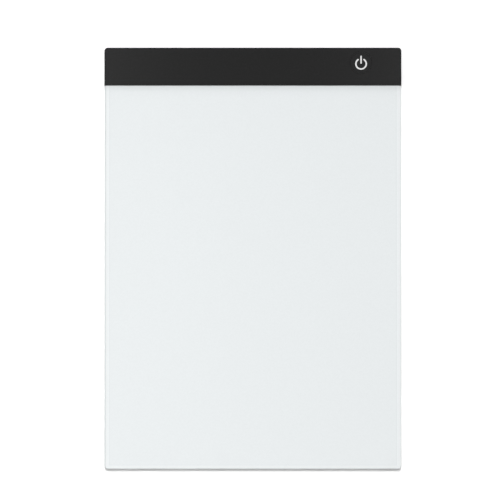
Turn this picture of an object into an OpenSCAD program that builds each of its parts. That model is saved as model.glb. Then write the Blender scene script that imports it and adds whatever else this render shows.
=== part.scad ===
// Tracing light pad: a thin edge-lit panel, sealed with tape on three edges, whose neck is clamped in the
// mouth of a black control strip. The strip holds the light bar, the circuit board, a push key and a power
// socket. Millimetres, +Z up. The drawing surface faces up, the strip lies at +Y, and the origin is on the
// table, under the middle of the pad.

/* [Pad] */
// Width of the pad
pad_w = 235; // [180:1:330]
// Length of the pad, strip included
pad_l = 335; // [220:1:480]
// Radius of the pad's corners, seen from above
corner_r = 2.6; // [2:0.1:6]
// How far the panel's sides lie inside the strip's ends
panel_inset = 0.3; // [0:0.05:1]
// Rounding of the panel's long edges
panel_edge_r = 0.5; // [0.3:0.05:1]

/* [Panel sheets] */
// Thickness of the white back sheet
back_sheet_t = 0.5; // [0.3:0.05:1.2]
// Thickness of the white reflector film
reflector_t = 0.2; // [0.1:0.05:0.4]
// Thickness of the clear light guide
guide_t = 2; // [1.8:0.1:4]
// Thickness of the diffuser film
film_t = 0.3; // [0.15:0.05:0.6]
// Thickness of the frosted front sheet
front_sheet_t = 0.6; // [0.4:0.05:1.5]
// Thickness of the white edge tape
tape_t = 0.1; // [0.05:0.01:0.2]
// Width of the tape's flaps along the sides
side_flap = 3.6; // [2:0.1:8]
// Width of the tape's flaps along the front edge
front_flap = 2.8; // [2:0.1:8]

/* [Control strip] */
// Length of the strip, along the pad
strip_l = 30.1; // [27:0.1:45]
// Thickness of the top cover
cover_t = 0.9; // [0.8:0.1:2]
// Rise of the strip's roof above the panel
bay_rise = 0.2; // [0.1:0.1:2]
// Thickness of the base's floor
base_t = 1; // [0.8:0.1:2]
// Thickness of the side and rear walls
wall_t = 1.5; // [1.3:0.1:2.5]
// Rounding of the strip's outer edges
strip_edge_r = 0.3; // [0.2:0.05:0.6]
// Rounding of the two shells' edges where they meet
parting_edge_r = 0.15; // [0.05:0.05:0.3]
// Depth of the lip that locates the cover in the base
lip_h = 0.8; // [0.4:0.1:1.2]
// Thickness of that lip
lip_t = 0.6; // [0.4:0.05:0.8]
// Length of the panel's neck inside the strip
neck_l = 5; // [4:0.1:6]
// Depth of the notches that lock the neck
notch_d = 1; // [0.6:0.1:2]
// Length of those notches
notch_l = 2; // [1.5:0.1:3]

/* [Light bar] */
// Number of light-emitting diodes
led_count = 36; // [12:1:48]
// Width of one diode
led_w = 3; // [2:0.1:3.4]
// Height of one diode
led_h = 1.4; // [0.8:0.1:1.7]
// Depth of one diode
led_d = 0.8; // [0.5:0.1:1.2]
// Thickness of the bar's circuit board
bar_t = 1; // [0.6:0.1:1.6]
// Free length at each end of the bar, to the wall
bar_end_gap = 3; // [2:0.5:10]
// Thickness of the bar's mounting tape
bar_tape_t = 0.15; // [0.1:0.05:0.4]
// Thickness of the rib that carries the bar
rib_t = 1.2; // [0.8:0.1:1.6]

/* [Power key] */
// Diameter of the key's cap
key_d = 17; // [15:0.5:18]
// Clearance round the cap
key_gap = 0.12; // [0.08:0.01:0.3]
// Travel of the key
key_travel = 0.3; // [0.15:0.05:0.4]
// Distance of the key's axis from the pad's right edge
key_from_right = 31.9; // [28:0.1:36]
// Distance of the key's axis from the pad's rear edge
key_from_rear = 12; // [11.4:0.1:12.4]
// Width of the key's hidden flange
flange_w = 0.9; // [0.5:0.1:1]
// Thickness of the key's flange
flange_t = 0.6; // [0.4:0.1:0.8]
// Radius of the symbol's ring, at the middle of its line
symbol_r = 4.1; // [3:0.1:4.6]
// Width of the symbol's line
symbol_line = 1.2; // [0.8:0.1:2]
// Length of the symbol's bar
symbol_bar = 6.5; // [5:0.1:7.4]
// Angle from the bar to each end of the ring
symbol_gap = 35; // [25:1:50]
// Depth of the symbol's inlay
symbol_depth = 0.4; // [0.2:0.05:0.6]

/* [Switch] */
// Width of the switch
switch_w = 4.5; // [4.2:0.1:6]
// Diameter of the switch's plunger
plunger_d = 2; // [1.6:0.1:2.2]
// Diameter of the switch's snap dome
dome_d = 3; // [2.8:0.1:3.4]

/* [Power socket] */
// Width of the socket's shell
usb_w = 7.5; // [6:0.1:9]
// Height of the socket's shell
usb_h = 2.5; // [2:0.1:2.8]
// Length of the socket's shell
usb_l = 5.2; // [4.5:0.1:6]
// Thickness of the shell's sheet metal
usb_shell_t = 0.25; // [0.15:0.05:0.35]
// Distance of the socket's axis from the pad's right edge
usb_from_right = 62; // [56:0.5:68]

/* [Circuit board] */
// Length of the board, across the pad
board_l = 66; // [64:0.5:72]
// Width of the board, along the pad
board_w = 18; // [17:0.1:18.5]
// Thickness of the board
board_t = 0.8; // [0.6:0.1:1]
// Height of the board above the base's floor
board_lift = 0.8; // [0.6:0.1:0.9]
// Distance of the board's end from the pad's right edge
board_from_right = 11.5; // [10.5:0.1:13]
// Diameter of the board's locating pins
pin_d = 1.4; // [1:0.1:1.6]
// Diameter of the two supply wires
wire_d = 0.9; // [0.6:0.1:1.1]

/* [Screws and feet] */
// Screws along the left part of the strip
left_screws = 4; // [2:1:6]
// Diameter of a screw's shank
screw_d = 2; // [1.6:0.1:2.2]
// Diameter of a screw's head
screw_head_d = 3.8; // [3:0.1:4.2]
// Diameter of the bosses that the screws hold together
boss_d = 5; // [4.4:0.1:5.6]
// Diameter of the rubber feet
foot_d = 10; // [6:0.5:14]
// Height of the strip above the table
foot_proud = 0.6; // [0.4:0.1:2]
// Depth of the recess that holds a rear foot
foot_recess = 0.4; // [0.2:0.05:0.6]
// Distance of the feet from the pad's sides
foot_from_side = 22; // [16:0.5:34]
// Distance of the front feet from the pad's front edge
foot_from_front = 22; // [12:0.5:60]

/* [Hidden] */
$fn = 64;

// Flat steps in one quarter of a rounded edge
arc_steps = 6;
// Least radius of an inner corner
least_r = 0.3;
// How far a cutting shape reaches past the face that it cuts
past = 1;
// Clearance between pieces that are slid together
fit_gap = 0.2;
// Clearance between pieces that are set close
close_gap = 0.1;
// Clearance between pieces that are pressed or soldered together
press_gap = 0.02;

// The pad seen from above
half_w = pad_w / 2;
rear_y = pad_l / 2;
front_y = -pad_l / 2;
strip_y = rear_y - strip_l;
wall_y = rear_y - wall_t;
neck_y = strip_y + neck_l;
neck_w = pad_w - 2 * (wall_t + fit_gap);
panel_w = pad_w - 2 * panel_inset;

// Levels of the stacked sheets, from the table up
base_z = foot_proud;
panel_z = base_z + base_t;
// What stands on the base's floor is rooted halfway down in it
floor_z = base_z + base_t / 2;
reflector_z = panel_z + back_sheet_t;
guide_z = reflector_z + reflector_t;
film_z = guide_z + guide_t;
front_z = film_z + film_t;
panel_top = front_z + front_sheet_t;
bay_top = panel_top + bay_rise;
cover_top = bay_top + cover_t;
parting_z = (panel_z + bay_top) / 2;
board_z = panel_z + board_lift;
board_top = board_z + board_t;

// The light bar stands behind the neck of the light guide
bar_margin = 0.3;
bar_z = panel_z + bar_margin;
bar_top = panel_top - bar_margin;
bar_l = pad_w - 2 * (wall_t + bar_end_gap);
led_y = neck_y + close_gap;
bar_y = led_y + led_d;
bar_tape_y = bar_y + bar_t;
rib_y = bar_tape_y + bar_tape_t;
led_z = guide_z + guide_t / 2;
led_pitch = (bar_l - 2 * led_w) / (led_count - 1);
phosphor_margin = 0.25;
phosphor_d = 0.3;

// The switch, counted up from the board's top face
switch_floor = 0.15;
dome_t = 0.08;
dome_top_d = 1.2;
// Rise that the pressed dome keeps
dome_spare = 0.03;
dome_h = key_travel + dome_spare;
plunger_margin = 0.15;
plunger_flange_d = dome_d - 2 * plunger_margin;
plunger_flange_t = 0.1;
plunger_play = 0.02;
frame_t = 0.15;
frame_z = switch_floor + dome_h + plunger_flange_t + plunger_play;
switch_h = frame_z + frame_t;
plunger_proud = key_travel + close_gap;
plunger_h = switch_h + plunger_proud;

// The key hangs under the cover, and its stem reaches down to the plunger
key_x = half_w - key_from_right;
key_y = rear_y - key_from_rear;
key_edge = 0.1;
flange_gap = 0.05;
stem_margin = 0.25;
stem_d = switch_w + 2 * stem_margin;
flange_top = bay_top - flange_gap;
flange_z = flange_top - flange_t;
stem_z = board_top + plunger_h;
tab_w = 2;
tab_l = 1.2;
guide_rib_t = 0.8;
symbol_drop = (symbol_bar - symbol_r - symbol_line / 2) / 2;
// The light bar's rib stays below the pressed key
rib_top = min(bar_top, flange_z - key_travel - fit_gap);

// The board lies on four standoffs, two at each end
board_rear_gap = 0.5;
board_x = half_w - board_from_right - board_l;
board_y = wall_y - board_rear_gap - board_w;
standoff_wall = 0.9;
standoff_d = pin_d + 2 * standoff_wall;
standoff_inset = 3;
standoff_xy = [
    for (x = [board_x + standoff_inset, board_x + board_l - standoff_inset])
        for (y = [board_y + standoff_inset, board_y + board_w - standoff_inset]) [x, y]
];

// Parts on the board: their middles, from the board's left front corner, and their sizes
chip_at = [21, 7.5];
chip_size = [4, 4, 0.9];
chip_dot_at = chip_at + [-1.2, 1.2];
chip_dot_d = 0.6;
chip_dot_depth = 0.1;
coil_at = [31, 11.5];
coil_foot = [4.2, 4.2, 0.5];
coil_d = 3.8;
coil_h = 0.9;
capacitors_at = [for (x = [8, 11, 14]) [x, 4.5]];
capacitor_size = [1.25, 2, 0.9];
resistors_at = [for (x = [7, 9, 24.5, 26.5]) [x, 9]];
resistor_size = [0.8, 1.6, 0.45];

// The socket lies in a notch of the board, level with the strip's parting line
usb_x = half_w - usb_from_right;
usb_mouth_y = rear_y - fit_gap;
usb_y = usb_mouth_y - usb_l;
usb_chamfer = 1;
usb_block_l = 1.4;
tongue_margin = 1.9;
tongue_w = usb_w - 2 * tongue_margin;
tongue_t = 0.6;
tongue_rise = 0.25;
tongue_setback = 0.6;
contact_count = 5;
contact_w = 0.35;
contact_t = 0.08;
contact_setback = 1;
usb_tab_l = 1.6;
usb_tab_w = 1.1;
usb_tab_y = usb_y + usb_tab_l / 2;

// Supply wires run from the board through a gap in the rib to the back of the light bar
wire_gap = 8;
wire_from_end = 31;
wire_x = board_x + wire_from_end;
wire_pitch = 3;
wire_reach = 3.5;
wire_end_y = board_y + wire_reach;
wire_lift = 0.05;
wire_z = board_top + wire_d / 2 + wire_lift;
solder_reach = 0.27;
solder_r = wire_d / 2 + solder_reach;
solder_rim = 0.1;
bar_bead_l = 0.72;
board_bead_l = 1.08;

// Screws stand on the middle line of the strip's bay
screw_y = (rib_y + rib_t + wall_y) / 2;
screw_edge = (wall_t + board_from_right) / 2;
screw_first = screw_edge - half_w;
boss_board_gap = 1;
screw_last = board_x - boss_d / 2 - boss_board_gap;
screw_x = concat(
    [for (i = [0 : left_screws - 1]) screw_first + (screw_last - screw_first) * i / (left_screws - 1)],
    [half_w - screw_edge]
);
screw_head_t = base_t;
screw_sink = 0.1;
thread_gap = 0.03;
cross_w = 0.5;
cross_l = 2.1;
cross_depth = 0.6;

foot_edge_r = 0.3;
rear_foot_y = screw_y;

black = [0.18, 0.18, 0.18];
white = [0.93, 0.94, 0.94];
frosted = [0.92, 0.935, 0.94];
clear = [0.85, 0.93, 0.92, 0.5];
rubber = [0.25, 0.25, 0.25];
steel = [0.75, 0.76, 0.78];
gold = [0.83, 0.68, 0.35];
board_green = [0.1, 0.35, 0.2];
phosphor_yellow = [0.95, 0.85, 0.3];
foam_grey = [0.8, 0.8, 0.82];
ferrite_grey = [0.3, 0.3, 0.32];
ceramic_brown = [0.7, 0.6, 0.45];
red = [0.78, 0.15, 0.12];

// Points along a circular arc
function arc(centre, r, from, to) = [
    for (i = [0 : arc_steps])
        let (a = from + (to - from) * i / arc_steps) centre + r * [cos(a), sin(a)]
];

// Section of a rounded edge, from a corner's axis out to radius r
function edge_section(r, z0, z1, low, high) = concat(
    [[0, z0]],
    low > 0 ? arc([r - low, z0 + low], low, -90, 0) : [[r, z0]],
    high > 0 ? arc([r - high, z1 - high], high, 0, 90) : [[r, z1]],
    [[0, z1]]
);

// Plate with round corners, whose low and high outer edges may be rounded
module slab(w, l, r, z0, z1, low, high) {
    section = edge_section(r, z0, z1, low, high);
    for (turn = [0 : 3]) {
        x = (turn % 2 == 0 ? w : l) / 2 - r;
        y = (turn % 2 == 0 ? l : w) / 2 - r;
        rotate([0, 0, 90 * turn]) translate([x, y, 0]) {
            rotate_extrude(angle = 90) polygon(section);
            rotate([90, 0, 0]) linear_extrude(2 * y) polygon(section);
        }
    }
    translate([r - w / 2, r - l / 2, z0]) cube([w - 2 * r, l - 2 * r, z1 - z0]);
}

// Outline of the pad, drawn in by inset
module outline_2d(inset) {
    r = max(corner_r - inset, least_r);
    x = half_w - inset;
    y = rear_y - inset;
    square([2 * (x - r), 2 * y], center = true);
    square([2 * x, 2 * (y - r)], center = true);
    for (sx = [-1, 1]) for (sy = [-1, 1]) translate([sx * (x - r), sy * (y - r)]) circle(r);
}

// Box given by its low and high corners
module span(low, high) {
    translate(low) cube(high - low);
}

// Block that stands on the middle of its lower face
module block(size) {
    translate([-size.x / 2, -size.y / 2, 0]) cube(size);
}

// Part of the pad in front of the strip, between two levels
module panel_zone(z0, z1) {
    span([-pad_w, -pad_l, z0], [pad_w, strip_y - close_gap, z1]);
}

// The taped panel's solid envelope, drawn in by inset
module panel_body(inset) {
    r = panel_edge_r - inset;
    slab(
        panel_w - 2 * inset, pad_l - 2 * inset, corner_r - inset,
        panel_z - tape_t + inset, panel_top + tape_t - inset, r, r
    );
}

// Neck of a sheet, with a locking notch in each side
module neck_2d() {
    difference() {
        translate([-neck_w / 2, strip_y - past]) square([neck_w, neck_l + past]);
        for (side = [-1, 1])
            translate([side * neck_w / 2, strip_y + neck_l / 2])
                square([2 * (notch_d + fit_gap), notch_l + 2 * fit_gap], center = true);
    }
}

// One full sheet of the panel, from level z, with its neck
module sheet(z, t) {
    intersection() {
        panel_body(tape_t);
        panel_zone(z, z + t);
    }
    translate([0, 0, z]) linear_extrude(t) neck_2d();
}

// Side view of the strip, with its front edge rounded below or above
function strip_section(z0, z1, low, high) = concat(
    [[rear_y + past, z0], [rear_y + past, z1]],
    high > 0 ? arc([strip_y + high, z1 - high], high, 90, 180) : [[strip_y, z1]],
    low > 0 ? arc([strip_y + low, z0 + low], low, 180, 270) : [[strip_y, z0]]
);

// Solid block of the strip between two levels
module strip_block(z0, z1, low, high) {
    intersection() {
        slab(pad_w, pad_l, corner_r, z0, z1, low, high);
        translate([-pad_w, 0, 0]) rotate([90, 0, 90])
            linear_extrude(2 * pad_w) polygon(strip_section(z0, z1, low, high));
    }
}

// Room inside the strip's walls, drawn in from the outline by inset
module strip_room(inset, z0, z1, from_y = strip_y - past) {
    translate([0, 0, z0]) linear_extrude(z1 - z0) intersection() {
        outline_2d(inset);
        translate([-pad_w, from_y]) square([2 * pad_w, pad_l]);
    }
}

// Band of the wall that the lip takes, widened by gap on its outer side and below
module lip_band(gap, top) {
    difference() {
        strip_room(wall_t - lip_t - gap, parting_z - lip_h - gap, top, strip_y + wall_t - gap);
        strip_room(wall_t, parting_z - lip_h - gap - past, top + past);
    }
}

// Opening for the power socket in the rear wall
module usb_opening() {
    span(
        [usb_x - usb_w / 2 - fit_gap, wall_y - past, parting_z - usb_h / 2 - fit_gap],
        [usb_x + usb_w / 2 + fit_gap, rear_y + past, parting_z + usb_h / 2 + fit_gap]
    );
}

module at_screws(z) {
    for (x = screw_x) translate([x, screw_y, z]) children();
}

module at_standoffs(z) {
    for (p = standoff_xy) translate([p.x, p.y, z]) children();
}

module at_key(z) {
    translate([key_x, key_y, z]) children();
}

// Two ribs under the cover that keep the key from turning
module key_guides() {
    y = -(key_d / 2 + flange_w + tab_l);
    for (side = [-1, 1])
        at_key(flange_z)
            translate([side * (tab_w / 2 + fit_gap + guide_rib_t / 2) - guide_rib_t / 2, y, 0])
                cube([guide_rib_t, tab_l - fit_gap, bay_top - flange_z]);
}

module control_cover() {
    color(black) difference() {
        union() {
            difference() {
                strip_block(parting_z, cover_top, parting_edge_r, strip_edge_r);
                strip_room(wall_t, parting_z - past, panel_top);
                strip_room(wall_t, parting_z - past, bay_top, neck_y);
            }
            lip_band(0, parting_z);
            at_screws(parting_z) cylinder(d = boss_d, h = bay_top - parting_z);
            at_standoffs(board_top) cylinder(d = standoff_d, h = bay_top - board_top);
            key_guides();
        }
        at_screws(parting_z - past) cylinder(d = screw_d + 2 * thread_gap, h = bay_top - parting_z + past);
        at_key(bay_top - past) cylinder(d = key_d + 2 * key_gap, h = cover_t + 2 * past);
        usb_opening();
    }
}

// Rib behind the light bar, with a gap for the supply wires
module bar_rib() {
    for (reach = [[-bar_l / 2, wire_x - wire_gap / 2], [wire_x + wire_gap / 2, bar_l / 2]])
        span([reach[0], rib_y, floor_z], [reach[1], rib_y + rib_t, rib_top]);
}

// Nubs on the side walls that fill the neck's notches
module neck_locks() {
    y = strip_y + (neck_l - notch_l) / 2;
    for (side = [0, 1]) mirror([side, 0, 0])
        span(
            [half_w - wall_t - fit_gap - notch_d, y, floor_z],
            [half_w - wall_t / 2, y + notch_l, parting_z - lip_h - fit_gap]
        );
}

module countersink() {
    translate([0, 0, base_z - past]) cylinder(d = screw_head_d + 2 * close_gap, h = past + screw_sink);
    translate([0, 0, base_z + screw_sink])
        cylinder(d1 = screw_head_d + 2 * close_gap, d2 = screw_d + 2 * close_gap, h = screw_head_t);
    translate([0, 0, base_z]) cylinder(d = screw_d + 2 * close_gap, h = parting_z);
}

module control_base() {
    color(black) difference() {
        union() {
            difference() {
                strip_block(base_z, parting_z, strip_edge_r, parting_edge_r);
                strip_room(wall_t, panel_z, parting_z + past);
                lip_band(close_gap, parting_z + past);
            }
            bar_rib();
            neck_locks();
            at_screws(floor_z) cylinder(d = boss_d, h = parting_z - floor_z);
            at_standoffs(floor_z) cylinder(d = standoff_d, h = board_z - floor_z);
            at_standoffs(floor_z) cylinder(d = pin_d, h = board_top - close_gap - floor_z);
        }
        at_screws(0) countersink();
        for (side = [-1, 1])
            translate([side * (half_w - foot_from_side), rear_foot_y, base_z - past])
                cylinder(d = foot_d + 2 * close_gap, h = foot_recess + past);
        usb_opening();
    }
}

// Power symbol seen from above: an open ring with round ends, and a bar
module symbol_2d() {
    start = 90 + symbol_gap;
    sweep = 360 - 2 * symbol_gap;
    side = 2 * symbol_r * [cos(start), sin(start)];
    translate([0, -symbol_drop]) {
        difference() {
            circle(symbol_r + symbol_line / 2);
            circle(symbol_r - symbol_line / 2);
            polygon([[0, 0], side, [0, 4 * symbol_r], [-side.x, side.y]]);
        }
        for (a = [start, start + sweep])
            translate(symbol_r * [cos(a), sin(a)]) circle(d = symbol_line);
        for (y = [symbol_line / 2, symbol_bar - symbol_line / 2])
            translate([0, y]) circle(d = symbol_line);
        translate([-symbol_line / 2, symbol_line / 2]) square([symbol_line, symbol_bar - symbol_line]);
    }
}

module symbol_inlay() {
    at_key(cover_top - symbol_depth) linear_extrude(symbol_depth) symbol_2d();
}

module power_key() {
    cap_r = key_d / 2;
    color(black) difference() {
        union() {
            at_key(0) rotate_extrude() polygon([
                [0, stem_z], [stem_d / 2, stem_z], [stem_d / 2, flange_z],
                [cap_r + flange_w, flange_z], [cap_r + flange_w, flange_top], [cap_r, flange_top],
                [cap_r, cover_top - key_edge], [cap_r - key_edge, cover_top], [0, cover_top]
            ]);
            at_key(flange_z) translate([-tab_w / 2, -cap_r - flange_w - tab_l, 0])
                cube([tab_w, tab_l + flange_w, flange_t]);
        }
        symbol_inlay();
    }
}

module power_symbol() {
    color("white") symbol_inlay();
}

module front_sheet() {
    color(frosted) sheet(front_z, front_sheet_t);
}

module diffuser_film() {
    color(white) sheet(film_z, film_t);
}

module light_guide() {
    color(clear) sheet(guide_z, guide_t);
}

module reflector_film() {
    color("white") sheet(reflector_z, reflector_t);
}

module back_sheet() {
    color(white) sheet(panel_z, back_sheet_t);
}

// White tape folded over the panel's two sides and its front edge
module edge_tape() {
    color(white) difference() {
        intersection() {
            panel_body(0);
            panel_zone(0, cover_top);
        }
        panel_body(tape_t);
        span(
            [side_flap - panel_w / 2, front_y + front_flap, 0],
            [panel_w / 2 - side_flap, pad_l, cover_top]
        );
    }
}

module led_bar() {
    color(white) span([-bar_l / 2, bar_y, bar_z], [bar_l / 2, bar_y + bar_t, bar_top]);
}

module at_leds() {
    for (i = [0 : led_count - 1])
        translate([(i - (led_count - 1) / 2) * led_pitch - led_w / 2, led_y, led_z - led_h / 2]) children();
}

// Yellow phosphor window in the front of one diode
module phosphor() {
    translate([phosphor_margin, 0, phosphor_margin])
        cube([led_w - 2 * phosphor_margin, phosphor_d, led_h - 2 * phosphor_margin]);
}

module led_bodies() {
    color("white") at_leds() difference() {
        cube([led_w, led_d, led_h]);
        phosphor();
    }
}

module led_phosphor() {
    color(phosphor_yellow) at_leds() phosphor();
}

module led_bar_tape() {
    color(foam_grey)
        for (reach = [[-bar_l / 2, wire_x - wire_gap / 2], [wire_x + wire_gap / 2, bar_l / 2]])
            span([reach[0], bar_tape_y, bar_z], [reach[1], rib_y, rib_top]);
}

module main_board() {
    color(board_green) difference() {
        span([board_x, board_y, board_z], [board_x + board_l, board_y + board_w, board_top]);
        at_standoffs(board_z - past) cylinder(d = pin_d + 2 * close_gap, h = board_t + 2 * past);
        span(
            [usb_x - usb_w / 2 - fit_gap, usb_y - fit_gap, board_z - past],
            [usb_x + usb_w / 2 + fit_gap, rear_y, board_top + past]
        );
    }
}

// Mouth of the socket seen from the rear, drawn in by inset
module usb_2d(inset) {
    x = usb_w / 2 - inset;
    y = usb_h / 2 - inset;
    cut = usb_chamfer - inset * (2 - sqrt(2));
    polygon([[-x, y], [x, y], [x, cut - y], [x - cut, -y], [cut - x, -y], [-x, cut - y]]);
}

// Lays a shape drawn in the socket's mouth along the socket, from y0 to y1
module along_usb(y0, y1) {
    translate([usb_x, y1, parting_z]) rotate([90, 0, 0]) linear_extrude(y1 - y0) children();
}

module usb_shell() {
    color(steel) {
        difference() {
            along_usb(usb_y, usb_mouth_y) usb_2d(0);
            along_usb(usb_y - past, usb_mouth_y + past) usb_2d(usb_shell_t);
        }
        for (side = [0, 1]) translate([usb_x, 0, 0]) mirror([side, 0, 0])
            span(
                [usb_w / 2 - usb_shell_t / 2, usb_tab_y, board_top],
                [usb_w / 2 + fit_gap + usb_tab_w, usb_tab_y + usb_tab_l, board_top + usb_shell_t]
            );
    }
}

module usb_tongue() {
    color(black) {
        along_usb(usb_y, usb_y + usb_block_l) usb_2d(usb_shell_t + press_gap);
        along_usb(usb_y + usb_block_l, usb_mouth_y - tongue_setback)
            translate([-tongue_w / 2, tongue_rise - tongue_t / 2]) square([tongue_w, tongue_t]);
    }
}

module usb_contacts() {
    pitch = tongue_w / contact_count;
    left = -(pitch * (contact_count - 1) + contact_w) / 2;
    color(gold) along_usb(usb_y + usb_block_l, usb_mouth_y - contact_setback)
        for (i = [0 : contact_count - 1])
            translate([left + i * pitch, tongue_rise - tongue_t / 2 - contact_t])
                square([contact_w, contact_t]);
}

module switch_body() {
    color(black) at_key(board_top) difference() {
        block([switch_w, switch_w, frame_z]);
        translate([0, 0, switch_floor]) cylinder(d = dome_d + 2 * close_gap, h = switch_h);
    }
}

// Snap dome of thin steel, with a flat top
module switch_dome() {
    r = dome_d / 2;
    top_r = dome_top_d / 2;
    color(steel) at_key(board_top + switch_floor) rotate_extrude() polygon([
        [0, dome_h - dome_t], [top_r, dome_h - dome_t], [r - dome_t, 0],
        [r, 0], [r, dome_t / 2], [top_r, dome_h], [0, dome_h]
    ]);
}

module switch_frame() {
    color(steel) at_key(board_top + frame_z) difference() {
        block([switch_w, switch_w, frame_t]);
        translate([0, 0, -past]) cylinder(d = plunger_d + 2 * close_gap, h = frame_t + 2 * past);
    }
}

module switch_plunger() {
    color(red) at_key(board_top + switch_floor + dome_h) {
        cylinder(d = plunger_flange_d, h = plunger_flange_t);
        cylinder(d = plunger_d, h = plunger_h - switch_floor - dome_h);
    }
}

// Moves to a place on the board, counted from its left front corner, at a height above its top face
module on_board(at, height = 0) {
    translate([board_x + at.x, board_y + at.y, board_top + height]) children();
}

module driver_chip() {
    color(black) difference() {
        on_board(chip_at) block(chip_size);
        on_board(chip_dot_at, chip_size.z - chip_dot_depth) cylinder(d = chip_dot_d, h = past);
    }
}

module power_coil() {
    color(ferrite_grey) {
        on_board(coil_at) block(coil_foot);
        on_board(coil_at, coil_foot.z) cylinder(d = coil_d, h = coil_h);
    }
}

module chip_capacitors() {
    color(ceramic_brown) for (at = capacitors_at) on_board(at) block(capacitor_size);
}

module chip_resistors() {
    color(black) for (at = resistors_at) on_board(at) block(resistor_size);
}

module wire_run(side) {
    translate([wire_x + side * wire_pitch / 2, bar_tape_y, wire_z]) rotate([-90, 0, 0])
        cylinder(d = wire_d, h = wire_end_y - bar_tape_y);
}

module wire_positive() {
    color(red) wire_run(-1);
}

module wire_negative() {
    color(black) wire_run(1);
}

// Bead of solder round a wire, wide at y0 and narrow at y1
module solder_bead(side, y0, y1) {
    narrow_r = wire_d / 2 + solder_rim;
    length = abs(y1 - y0);
    turn = y1 > y0 ? -90 : 90;
    translate([wire_x + side * wire_pitch / 2, y0, wire_z]) rotate([turn, 0, 0]) difference() {
        cylinder(r1 = solder_r, r2 = narrow_r, h = length);
        translate([0, 0, -past]) cylinder(d = wire_d + 2 * press_gap, h = length + 2 * past);
    }
}

// The wires are soldered to the back of the light bar and to the board
module solder_joints() {
    color(steel) for (side = [-1, 1]) {
        solder_bead(side, bar_tape_y, bar_tape_y + bar_bead_l);
        intersection() {
            solder_bead(side, wire_end_y, wire_end_y - board_bead_l);
            span([board_x, board_y, board_top], [board_x + board_l, rear_y, cover_top]);
        }
    }
}

module case_screws() {
    color(steel) at_screws(base_z + screw_sink) difference() {
        union() {
            cylinder(d1 = screw_head_d, d2 = screw_d, h = screw_head_t);
            cylinder(d = screw_d, h = bay_top - base_z - screw_sink - fit_gap);
        }
        for (turn = [0, 90]) rotate([0, 0, turn])
            translate([-cross_l / 2, -cross_w / 2, -past]) cube([cross_l, cross_w, cross_depth + past]);
    }
}

// Rubber foot from the table up to a level
module foot(top) {
    rotate_extrude() polygon(edge_section(foot_d / 2, 0, top, foot_edge_r, 0));
}

module front_feet() {
    color(rubber) for (side = [-1, 1])
        translate([side * (half_w - foot_from_side), front_y + foot_from_front, 0]) foot(panel_z);
}

module rear_feet() {
    color(rubber) for (side = [-1, 1])
        translate([side * (half_w - foot_from_side), rear_foot_y, 0]) foot(base_z + foot_recess);
}

control_cover();
control_base();
power_key();
power_symbol();
front_sheet();
diffuser_film();
light_guide();
reflector_film();
back_sheet();
edge_tape();
led_bar();
led_bodies();
led_phosphor();
led_bar_tape();
main_board();
usb_shell();
usb_tongue();
usb_contacts();
switch_body();
switch_dome();
switch_frame();
switch_plunger();
driver_chip();
power_coil();
chip_capacitors();
chip_resistors();
wire_positive();
wire_negative();
solder_joints();
case_screws();
front_feet();
rear_feet();
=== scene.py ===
"""Looks of the tracing light pad: materials, floor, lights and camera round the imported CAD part."""

import math

import bpy
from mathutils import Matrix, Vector


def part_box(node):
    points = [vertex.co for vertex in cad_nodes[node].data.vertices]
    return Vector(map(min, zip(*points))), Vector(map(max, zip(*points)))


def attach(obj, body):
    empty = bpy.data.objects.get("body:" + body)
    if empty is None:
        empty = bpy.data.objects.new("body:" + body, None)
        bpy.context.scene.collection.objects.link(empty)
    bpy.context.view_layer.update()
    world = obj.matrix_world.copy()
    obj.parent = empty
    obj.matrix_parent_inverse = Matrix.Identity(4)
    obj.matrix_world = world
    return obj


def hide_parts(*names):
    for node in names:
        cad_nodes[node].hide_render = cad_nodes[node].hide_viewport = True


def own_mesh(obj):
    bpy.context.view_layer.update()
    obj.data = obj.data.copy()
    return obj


MM = 0.001
# Width and height of the picture, in pixels
PICTURE_SIZE = 500

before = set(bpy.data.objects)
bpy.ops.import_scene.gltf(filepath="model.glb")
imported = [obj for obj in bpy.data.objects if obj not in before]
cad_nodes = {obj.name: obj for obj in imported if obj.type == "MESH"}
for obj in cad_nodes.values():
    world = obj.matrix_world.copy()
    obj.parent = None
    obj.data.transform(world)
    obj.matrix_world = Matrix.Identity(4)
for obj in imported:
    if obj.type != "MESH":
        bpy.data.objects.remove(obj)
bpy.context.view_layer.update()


# Node trees and node materials

class NodeTree:
    """A node tree. A source is another node's output, and a value is a constant or a source."""

    def __init__(self, tree):
        self.tree = tree

    def put(self, inputs, **values):
        """Gives values to inputs by their names: put(inputs, Metallic=1.0, Base_Color=source)."""
        for name, value in values.items():
            socket = inputs[name.replace("_", " ")]
            if isinstance(value, bpy.types.NodeSocket):
                self.tree.links.new(value, socket)
            else:
                socket.default_value = value

    def node(self, kind, **values):
        """New node of a kind, with values for its inputs."""
        node = self.tree.nodes.new("ShaderNode" + kind)
        self.put(node.inputs, **values)
        return node

    def combine(self, kind, operation, *sources):
        """New node of a kind that works out an operation on its sources."""
        node = self.node(kind)
        node.operation = operation
        for socket, source in zip(node.inputs, sources):
            self.tree.links.new(source, socket)
        return node

    def least(self, first, second):
        """The smaller of two sources."""
        return self.combine("Math", "MINIMUM", first, second).outputs["Value"]

    def most(self, first, second):
        """The larger of two sources."""
        return self.combine("Math", "MAXIMUM", first, second).outputs["Value"]

    def spread(self, source, low, high, start=0.0, end=1.0):
        """A source that goes from start to end, carried over to the range from low to high."""
        node = self.node("MapRange", Value=source, From_Min=start, From_Max=end, To_Min=low, To_Max=high)
        return node.outputs["Result"]

    def seen_by(self, *kinds):
        """1 for rays of the given kinds, and 0 for other rays."""
        rays = self.node("LightPath").outputs
        mask = rays[kinds[0]]
        for kind in kinds[1:]:
            mask = self.most(mask, rays[kind])
        return mask


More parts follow.
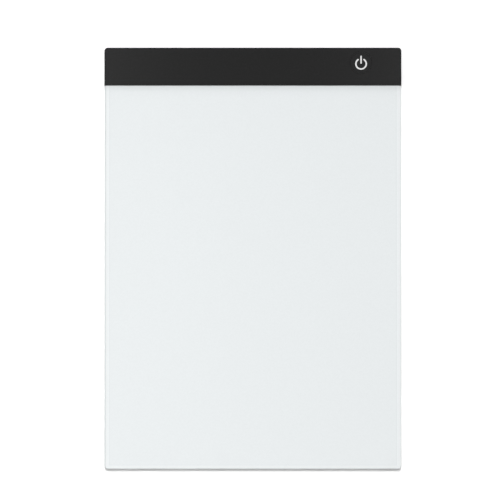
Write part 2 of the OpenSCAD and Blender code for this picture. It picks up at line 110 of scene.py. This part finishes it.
class Shader(NodeTree):
    """A node material. Its textures read the object's own coordinates, in metres."""

    def __init__(self, name):
        self.material = bpy.data.materials.new(name)
        self.material.use_nodes = True
        super().__init__(self.material.node_tree)
        self.place = self.node("TexCoord").outputs["Object"]

    def surface(self, **values):
        """Gives values to the surface's own inputs."""
        self.put(self.tree.nodes["Principled BSDF"].inputs, **values)

    def noise(self, size, detail=2.0, place=None):
        """Soft noise, 0 to 1, whose blobs are about size metres wide."""
        node = self.node("TexNoise", Vector=place or self.place, Scale=1.0 / size, Detail=detail)
        return node.outputs["Fac"]

    def ramp(self, source, low, high):
        """Colour by the value of a source. Low and high are each a value and its colour."""
        node = self.node("ValToRGB", Fac=source)
        for element, (position, colour) in zip(node.color_ramp.elements, (low, high)):
            element.position = position
            element.color = (*colour, 1.0)
        return node.outputs["Color"]

    def bump(self, height, depth):
        """Roughens the surface by a texture whose relief is depth metres."""
        node = self.node("Bump", Height=height, Strength=1.0, Distance=depth)
        self.surface(Normal=node.outputs["Normal"])


# Kinds of material

# Most values of a noise lie between these two
NOISE_LOW = 0.3
NOISE_HIGH = 0.7
# Detail of the noise that makes a grain
GRAIN_DETAIL = 3.0
# Widths of the soft clouds of tone in plastic and in metal
PLASTIC_CLOUDS = 1.6 * MM
METAL_CLOUDS = 1.5 * MM


def shade(colour, factor):
    """Colour made lighter or darker by a factor."""
    return tuple(min(1.0, channel * factor) for channel in colour)


def mottle(shader, colour, share, size):
    """Colour that varies by a share either way, in clouds of a size."""
    dark = (NOISE_LOW, shade(colour, 1 - share))
    light = (NOISE_HIGH, shade(colour, 1 + share))
    return shader.ramp(shader.noise(size), dark, light)


def uneven(shader, source, value, share):
    """Number that varies by a share either way with a noise."""
    return shader.spread(source, value * (1 - share), value * (1 + share))


def moulded(name, colour, roughness, grain=0.35 * MM, relief=0.004 * MM, cloud=0.04, **values):
    """Moulded plastic or rubber, with a fine grain and a soft unevenness of tone and gloss.

    Grain and relief are the grain's width and height. Cloud is the share by which the tone varies.
    """
    shader = Shader(name)
    fine = shader.noise(size=grain, detail=GRAIN_DETAIL)
    tone = mottle(shader, colour, share=cloud, size=PLASTIC_CLOUDS)
    shader.surface(Base_Color=tone, Roughness=uneven(shader, fine, roughness, share=0.2), **values)
    shader.bump(fine, relief)
    return shader.material


def satin_black(name, relief):
    """Black plastic with a satin shine, for the strip and the key."""
    black = (0.0142, 0.0142, 0.0143)
    return moulded(name, black, roughness=0.4, relief=relief, cloud=0.12, Specular_IOR_Level=0.35)


def drawn_metal(name, colour, roughness, stretch=(1.0, 1.0, 8.0)):
    """Sheet metal or turned metal, with fine marks that are narrow along the stretched axes."""
    shader = Shader(name)
    place = shader.node("Mapping", Vector=shader.place, Scale=stretch).outputs["Vector"]
    marks = shader.noise(size=0.5 * MM, detail=GRAIN_DETAIL, place=place)
    tone = mottle(shader, colour, share=0.06, size=METAL_CLOUDS)
    shader.surface(Base_Color=tone, Roughness=uneven(shader, marks, roughness, share=0.4), Metallic=1.0)
    shader.bump(marks, depth=0.002 * MM)
    return shader.material


def edge_shaded_sheet(name, colour, roughness, side, front, width, left_width, shaded_share):
    """White sheet with a fine grain, greyed by painted shade over a width inside x = side and y = front.

    Inside x = -side the width is left_width. The last argument is the share of the tone that the
    painted shade leaves at the edges.
    """
    shader = Shader(name)
    place = shader.node("SeparateXYZ", Vector=shader.place).outputs
    from_left = shader.spread(place["X"], 0.0, 1.0, -side, left_width - side)
    from_right = shader.spread(place["X"], 0.0, 1.0, side, side - width)
    from_front = shader.spread(place["Y"], 0.0, 1.0, front, front + width)
    inside = shader.least(shader.least(from_left, from_right), from_front)
    # Painted shade: the tone darkens toward the edges, standing in for the shade that falls there
    painted_shade_ramp = shader.ramp(inside, (0.0, (shaded_share, shaded_share, shaded_share)), (1.0, (1.0, 1.0, 1.0)))
    unshaded_tone = mottle(shader, colour, share=0.01, size=PLASTIC_CLOUDS)
    tone = shader.combine("VectorMath", "MULTIPLY", unshaded_tone, painted_shade_ramp).outputs["Vector"]
    fine = shader.noise(size=0.25 * MM, detail=GRAIN_DETAIL)
    shader.surface(Base_Color=tone, Roughness=uneven(shader, fine, roughness, share=0.15))
    shader.bump(fine, depth=0.004 * MM)
    return shader.material


def dress(material, *names):
    """Gives a material to CAD nodes."""
    for name in names:
        mesh = cad_nodes[name].data
        mesh.materials.clear()
        mesh.materials.append(material)


# Materials of the pieces, each with its CAD nodes. The number after a colour is the roughness

# Strip and key
dress(satin_black("strip plastic", relief=0.016 * MM), "control_cover", "control_base")
dress(satin_black("key plastic", relief=0.014 * MM), "power_key")
dress(moulded("symbol inlay", (0.76, 0.76, 0.76), 0.45, cloud=0.02), "power_symbol")

# Widths of the tape's flaps, as in the part's source
SIDE_FLAP = 3.6 * MM
FRONT_FLAP = 2.8 * MM
tape_low, tape_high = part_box("edge_tape")

# Panel
# The front sheet gets a thin painted shadow along the tape's inner edge
dress(edge_shaded_sheet("frosted acrylic", (0.80, 0.832, 0.84), 0.52, side=tape_high.x - SIDE_FLAP,
                    front=tape_low.y + FRONT_FLAP, width=0.7 * MM, left_width=0.7 * MM, shaded_share=0.93),
      "front_sheet")
# The tape gets painted shade at its outer folds. The band is wider on the left fold, where more shade is
# painted
dress(edge_shaded_sheet("edge tape", (0.83, 0.86, 0.867), 0.4, side=tape_high.x, front=tape_low.y,
                    width=0.4 * MM, left_width=1.6 * MM, shaded_share=0.76), "edge_tape")
dress(moulded("back sheet", (0.8, 0.81, 0.81), 0.5, grain=0.5 * MM, cloud=0.01), "back_sheet")
dress(moulded("white film", (0.85, 0.86, 0.86), 0.5, cloud=0.01), "diffuser_film", "reflector_film")
dress(moulded("clear acrylic", (0.85, 0.93, 0.92), 0.12, grain=2 * MM, relief=0.001 * MM, cloud=0.01,
              Transmission_Weight=0.8, IOR=1.49), "light_guide")

# Feet and metal pieces
dress(moulded("foot rubber", (0.03, 0.03, 0.031), 0.75, relief=0.015 * MM), "front_feet", "rear_feet")
dress(drawn_metal("zinc screws", (0.55, 0.55, 0.56), 0.35), "case_screws")
dress(drawn_metal("sheet steel", (0.62, 0.62, 0.62), 0.3, stretch=(8.0, 1.0, 8.0)),
      "usb_shell", "switch_frame", "switch_dome")
dress(drawn_metal("gold plate", (0.85, 0.62, 0.28), 0.25), "usb_contacts")
dress(drawn_metal("solder", (0.7, 0.7, 0.7), 0.3, stretch=(1.0, 1.0, 1.0)), "solder_joints")

# Boards, what they carry, and wires
dress(moulded("connector plastic", (0.02, 0.02, 0.02), 0.45), "usb_tongue", "switch_body")
dress(moulded("solder mask", (0.02, 0.13, 0.06), 0.3, grain=1.0 * MM, cloud=0.12), "main_board")
dress(moulded("white solder mask", (0.8, 0.8, 0.78), 0.4, cloud=0.02), "led_bar")
dress(moulded("diode case", (0.84, 0.84, 0.82), 0.35, cloud=0.02), "led_bodies")
dress(moulded("phosphor", (0.85, 0.62, 0.08), 0.4, grain=0.1 * MM, cloud=0.08), "led_phosphor")
dress(moulded("mounting tape", (0.5, 0.5, 0.52), 0.6, grain=0.6 * MM), "led_bar_tape")
dress(moulded("chip epoxy", (0.02, 0.02, 0.021), 0.55, relief=0.008 * MM),
      "driver_chip", "chip_resistors")
dress(moulded("ferrite", (0.07, 0.07, 0.075), 0.6, relief=0.01 * MM, cloud=0.1), "power_coil")
dress(moulded("capacitor ceramic", (0.4, 0.28, 0.16), 0.4, cloud=0.06), "chip_capacitors")
dress(moulded("red plastic", (0.55, 0.03, 0.02), 0.4), "wire_positive", "switch_plunger")
dress(moulded("black insulation", (0.015, 0.015, 0.015), 0.4), "wire_negative")


# The switch's snap dome, which flattens under the plunger in the real switch, is shown by its own copy

def make_snap_dome(node):
    """Copy of the dome that stands for its CAD node, hung on the pad's body."""
    dome = bpy.data.objects.new("snap_dome", cad_nodes[node].data.copy())
    bpy.context.scene.collection.objects.link(dome)
    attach(dome, "pad")
    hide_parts(node)
    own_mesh(dome)


# The part has one joint, the press of the key
make_snap_dome("switch_dome")


# Floor, world, lights and camera

# How far under the feet the floor lies
FLOOR_DROP = 0.05 * MM
# Gloss and glass see a room: its white walls reach up to the first angle above the horizon,
# and its dim ceiling starts at the second
WALL_TOP = math.radians(30)
CEILING_START = math.radians(60)
# The side softboxes stand like rails along the pad, on either side of a point in front of its middle
RAIL_SIZE = (1.5, 0.1)
RAIL_AIM = (0.0, -0.3, 0.0)


def floor_material(tone, near, far):
    """Pale material in an even tone. Camera, gloss and glass see it in tones that look white.

    Near and far are each a distance from the middle and the tone that is seen there.
    """
    shader = Shader("floor")
    distance = shader.combine("VectorMath", "LENGTH", shader.place).outputs["Value"]
    seen_tone = shader.spread(distance, near[1], far[1], near[0], far[0])
    seen = shader.seen_by("Is Camera Ray", "Is Glossy Ray", "Is Transmission Ray")
    shader.surface(Base_Color=shader.spread(seen, tone, seen_tone), Roughness=0.9, Specular_IOR_Level=0.0)
    return shader.material


def make_floor(size, material):
    """Square floor, a hair under the feet, that takes the pad's shadow."""
    half = size / 2
    corners = [(-half, -half, 0), (half, -half, 0), (half, half, 0), (-half, half, 0)]
    mesh = bpy.data.meshes.new("floor")
    mesh.from_pydata(corners, [], [(0, 1, 2, 3)])
    mesh.materials.append(material)
    floor = bpy.data.objects.new("floor", mesh)
    floor.location.z = -FLOOR_DROP
    bpy.context.scene.collection.objects.link(floor)


def make_world(level):
    """Even studio light. The camera sees white; gloss and glass see white walls under a dim ceiling."""
    world = bpy.data.worlds.new("studio")
    bpy.context.scene.world = world
    world.use_nodes = True
    tree = NodeTree(world.node_tree)
    up = tree.node("SeparateXYZ", Vector=tree.node("TexCoord").outputs["Generated"]).outputs["Z"]
    room = tree.spread(up, 1.0, level, math.sin(WALL_TOP), math.sin(CEILING_START))
    mirrored = tree.spread(tree.seen_by("Is Glossy Ray", "Is Transmission Ray"), level, room)
    strength = tree.spread(tree.seen_by("Is Camera Ray"), mirrored, 1.0)
    tree.put(world.node_tree.nodes["Background"].inputs, Color=(1, 1, 1, 1), Strength=strength)


def softbox(name, place, size, level, aim=(0.0, 0.0, 0.0), glossy=True):
    """Area light that adds about level to a white face at its aim, from which its place is measured."""
    place = Vector(place)
    light = bpy.data.lights.new(name, "AREA")
    light.shape = "RECTANGLE"
    light.size, light.size_y = size
    # The face gets power * height / (pi * distance ** 3), and it sends back that over pi
    light.energy = level * math.pi ** 2 * place.length ** 3 / place.z
    lamp = bpy.data.objects.new(name, light)
    lamp.location = Vector(aim) + place
    lamp.rotation_euler = (-place).to_track_quat("-Z", "Y").to_euler()
    lamp.visible_camera = False
    lamp.visible_glossy = glossy
    bpy.context.scene.collection.objects.link(lamp)


def make_camera(aim, distance, elevation, pixels_per_metre):
    """Long-lens camera that looks down on the pad from the front."""
    data = bpy.data.cameras.new("camera")
    data.lens = data.sensor_width * distance * pixels_per_metre / PICTURE_SIZE
    data.clip_end = 3 * distance
    back = Vector((0, -math.cos(elevation), math.sin(elevation)))
    camera = bpy.data.objects.new("camera", data)
    camera.location = Vector(aim) + back * distance
    camera.rotation_euler = (-back).to_track_quat("-Z", "Y").to_euler()
    bpy.context.scene.collection.objects.link(camera)
    bpy.context.scene.camera = camera


make_floor(size=40.0, material=floor_material(tone=0.8, near=(0.3, 1.25), far=(0.6, 1.7)))
make_world(level=0.05)
softbox("top softbox", place=(0.0, 2.6, 10.0), size=(1.0, 2.4), level=0.435, glossy=False)
softbox("left softbox", place=(-0.205, 0.0, 0.3), size=RAIL_SIZE, level=0.74, aim=RAIL_AIM)
softbox("right softbox", place=(0.205, 0.0, 0.3), size=RAIL_SIZE, level=0.54, aim=RAIL_AIM)
softbox("rear softbox", place=(0.0, 5.5, 1.3), size=(6.0, 1.6), level=0.13, glossy=False)
make_camera(aim=(-2.3 * MM, 6.45 * MM, 5.2 * MM), distance=15.0, elevation=math.radians(83.5),
            pixels_per_metre=1265.0)
bpy.context.scene.view_settings.view_transform = "Standard"
